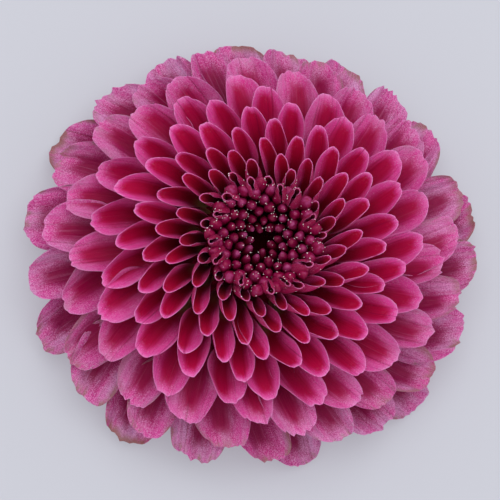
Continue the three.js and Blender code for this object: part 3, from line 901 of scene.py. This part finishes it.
def lathe(name, outline, sides, material, ribs=lambda turn: 1.0):
    """A closed solid turned from an outline of (r, z) in mm, bottom first. Ribs stretch its radii."""
    turns = np.linspace(0, 2 * math.pi, sides, endpoint=False)
    rings = [[(r * ribs(a) * math.cos(a) * MM, r * ribs(a) * math.sin(a) * MM, z * MM) for a in turns]
             for r, z in outline[1:-1]]
    bottom, top = ((0.0, 0.0, z * MM) for _, z in (outline[0], outline[-1]))
    points = [bottom] + [point for ring in rings for point in ring] + [top]
    last, faces = len(points) - 1, []
    for i in range(sides):
        j = (i + 1) % sides
        faces.append((0, 1 + j, 1 + i))
        faces.extend((1 + k * sides + i, 1 + k * sides + j, 1 + (k + 1) * sides + j, 1 + (k + 1) * sides + i)
                     for k in range(len(rings) - 1))
        faces.append((last, last - sides + i, last - sides + j))
    mesh = bpy.data.meshes.new(name)
    mesh.from_pydata(points, [], faces)
    mesh.materials.append(material)
    mesh.shade_smooth()
    return put(name, mesh)


BED = range(FLORETS - 1, 4, -12)  # florets whose feet give the outline of the bed that they stand in
BED_SIDES = 48
BED_FOOT = [(0.0, 6.5), (6.0, 6.6)]  # its outline below those florets' feet, as (r, z)
BED_TOP = [(2.2, 17.6), (0.0, 17.4)]  # and above them, under the eye
BED_REACH = {"eye": 0.5, "patch": 0.7, "open": 0.42}  # how far up the midribs it comes
BED_FALLS = (-0.02, 0.16)  # the ages between which it falls away under the open florets


def feet(index):
    """Where a floret's midrib comes out from among its neighbours' feet, as (r, z)."""
    row = floret(index)
    points = [(row[name][0], row[name][2]) for name in ("root", "foot", "hook", "tip")]
    patch_reach = lerp(BED_REACH["eye"], BED_REACH["patch"], row["inner"])
    reach = lerp(patch_reach, BED_REACH["open"], ease(row["age"], *BED_FALLS))
    while len(points) > 1:
        points = [(lerp(a[0], b[0], reach), lerp(a[1], b[1], reach)) for a, b in zip(points, points[1:])]
    return points[0]


# the cup's outline, as (r, z)
CUP = ((0.0, 1.9), (2.7, 1.95), (4.66, 2.82), (6.62, 4.57), (7.6, 6.3), (7.3, 6.7), (0.0, 7.0))
CUP_SIDES = 64
# of each row of bracts: how many, where they stand as r and z, their length and width, and their lean
BRACT_ROWS = ((13, 2.6, 2.3, 4.3, 2.7, 64), (21, 4.4, 3.2, 4.9, 2.6, 58), (21, 6.0, 4.3, 5.0, 2.8, 50))
BRACT_STRAY = {"turn": 3, "lean": 3, "length": 0.08}
BRACT_UPTURN = 26  # how much less a bract leans at its tip
BRACT_SINK = (0.5, 0.1)  # how far inwards and down it is rooted in the cup
BRACT_HOLLOW = 0.32  # how far its margins rise, as a share of its half width
BRACT_ROUNDING = 0.8  # how much thinner it is at its margins
BRACT_THINS = (0.5, 1.0, 1.0, 0.4)
BRACT_KEEL = (0.35, 0.0)
BRACT_HANDLES = (0.4, 0.75)  # reach of the midrib's two middle control points, as a share of its length
BRACT_BEND = (0.8, 0.45)  # how far it runs by its own lean, then by its tip's
BRACT_SHOULDERS = (0.8, 0.95)  # its width at its foot, and how much that grows before it narrows


def bract_seeds():
    rows = []
    for order, (count, foot_r, foot_z, long, wide, lean) in enumerate(BRACT_ROWS):
        for place in range(count):
            number = 100 * order + place
            turn = 360 / count * (place + 0.5 * order) + BRACT_STRAY["turn"] * draw(number, BRACT_TURN)
            here = leaning(lean + BRACT_STRAY["lean"] * draw(number, BRACT_LEAN))
            there = leaning(lean - BRACT_UPTURN)
            foot, hook = ((foot_r + reach * long * here[0], 0.0, foot_z + reach * long * here[1])
                          for reach in BRACT_HANDLES)
            rows.append({
                "number": float(number),
                "turn": math.radians(turn),
                "length": long * (1 + BRACT_STRAY["length"] * draw(number, BRACT_LENGTH)),
                "girth": wide,
                "root": (foot_r - BRACT_SINK[0], 0.0, foot_z - BRACT_SINK[1]),
                "foot": foot,
                "hook": hook,
                "tip": (foot_r + BRACT_BEND[0] * long * here[0] + BRACT_BEND[1] * long * there[0], 0.0,
                        foot_z + BRACT_BEND[0] * long * here[1] + BRACT_BEND[1] * long * there[1]),
            })
    return seeds(rows)


def bract_tree():
    """Bends a closed blank, one for each seed, to a keeled scale that narrows to a point."""
    net = Shaper("bracts", Columns=11, Rows=14, Thickness=0.42, Keel=0.22, Surface=None)
    scales = net.stand(flat_blank(net))
    x, y, face = net.split(net.read("blank", "FLOAT_VECTOR"))
    along, across = y + 0.5, x * -1
    half = net.read("girth") * 0.5 * net.sqrt(net.most(1 - along, 0.0))
    half = half * (BRACT_SHOULDERS[0] + along * BRACT_SHOULDERS[1])
    thick = net["Thickness"] * (1 - across * across * BRACT_ROUNDING) * net.ease(along, *BRACT_THINS)
    keel = net["Keel"] * net.ease(abs(across), *BRACT_KEEL)
    rise = face * thick * 0.5 + across * across * half * BRACT_HOLLOW - keel
    place = stood(net, along, across * half, rise)
    shaped = net.node("GeometryNodeSetPosition", (), {"Geometry": scales, "Position": place})
    return net.finish(net.keep(shaped, along=along, across=across, face=face))


STEM_RADIUS = 2.3
STEM_RIBS = 6
STEM_RIB_DEPTH = 0.22
STEM_TOP_Z = 1.6
STEM_SIDES = 72
# the stub's outline, as (share of its radius, z): its cut end is a little hollowed at the pith
STEM_OUTLINE = [(0.0, 0.12), (0.3, 0.1), (0.55, 0.02), (0.86, 0.0), (0.96, 0.03), (1.0, 0.14), (1.0, 0.6),
                (0.985, 1.1), (1.0, STEM_TOP_Z), (1.12, STEM_TOP_Z + 0.45), (0.0, STEM_TOP_Z + 0.7)]


def stem_ribs(turn):
    return STEM_RADIUS + STEM_RIB_DEPTH * math.cos(STEM_RIBS * turn)


petals, buds, balls = petal_tree(), bud_tree(), gland_tree()
skin, bud_skin, gland_skin = petal_finish(), bud_finish(), gland_finish()
pieces = {"closed_florets": grown("closed_florets", buds, bud_seeds(EYE_FLORETS, SPLIT_FROM),
                                  Surface=bud_skin)}
for name, (first, last, form) in RINGS.items():
    pieces[name] = grown(name, petals, petal_seeds(first, last), Surface=skin, **form)


def glands(name, host, **inputs):
    return grown(name, balls, pieces[host].data.copy(), Surface=gland_skin, **inputs)


pieces["glands"] = glands("glands", "closed_florets")
pieces["split_glands"] = glands("split_glands", "split_florets")
pieces["cup_glands"] = glands("cup_glands", "cup_florets", PerSquareMetre=4e5)
pieces["receptacle"] = lathe("receptacle", BED_FOOT + [feet(index) for index in BED] + BED_TOP, BED_SIDES,
                             bed_finish())
for piece in pieces.values():
    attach(piece, "root")
    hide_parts("ray_florets")

involucre = {
    "bract_cup": lathe("bract_cup", CUP, CUP_SIDES, cup_finish()),
    "bract_scales": grown("bract_scales", bract_tree(), bract_seeds(), Surface=bract_finish()),
}
for piece in involucre.values():
    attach(piece, "root")
    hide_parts("green_bracts")

stem = lathe("stem_stub_dressed", STEM_OUTLINE, STEM_SIDES, stem_finish(), stem_ribs)
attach(stem, "root")
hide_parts("stem_stub")

# ---- what the head stands on, and its light -------------------------------------------------------


def pale_floor():
    mesh = bpy.data.meshes.new("floor")
    mesh.from_pydata([(-1, -1, 0), (1, -1, 0), (1, 1, 0), (-1, 1, 0)], [], [(0, 1, 2, 3)])
    paint = Finish("pale floor", Roughness=0.9, Base_Color=ink(160, 161, 168), Specular_IOR_Level=0.1,
                   Emission_Color=ink(208, 209, 219), Emission_Strength=0.4)
    mesh.materials.append(paint.material)
    return put("floor", mesh)


floor = pale_floor()

SKY = (0.97, 0.98, 1.0, 1.0)
SKY_STRENGTH = 0.72
SOFTBOX_PLACE = (0.03, 0.18, 0.8)  # metres
SOFTBOX_WIDTH = 0.8
SOFTBOX_WATTS = 3.2


def lights():
    world = bpy.data.worlds.new("studio")
    bpy.context.scene.world = world
    world.use_nodes = True
    back = next(n for n in world.node_tree.nodes if n.type == "BACKGROUND")
    back.inputs["Color"].default_value = SKY
    back.inputs["Strength"].default_value = SKY_STRENGTH
    lamp = bpy.data.lights.new("softbox", "AREA")
    lamp.shape, lamp.size = "DISK", SOFTBOX_WIDTH
    lamp.energy = SOFTBOX_WATTS
    holder = put("softbox", lamp)
    spot = Vector(SOFTBOX_PLACE)
    holder.location = spot
    holder.rotation_euler = (-spot).to_track_quat("-Z", "Y").to_euler()


lights()
bpy.context.scene.view_settings.view_transform = "Standard"
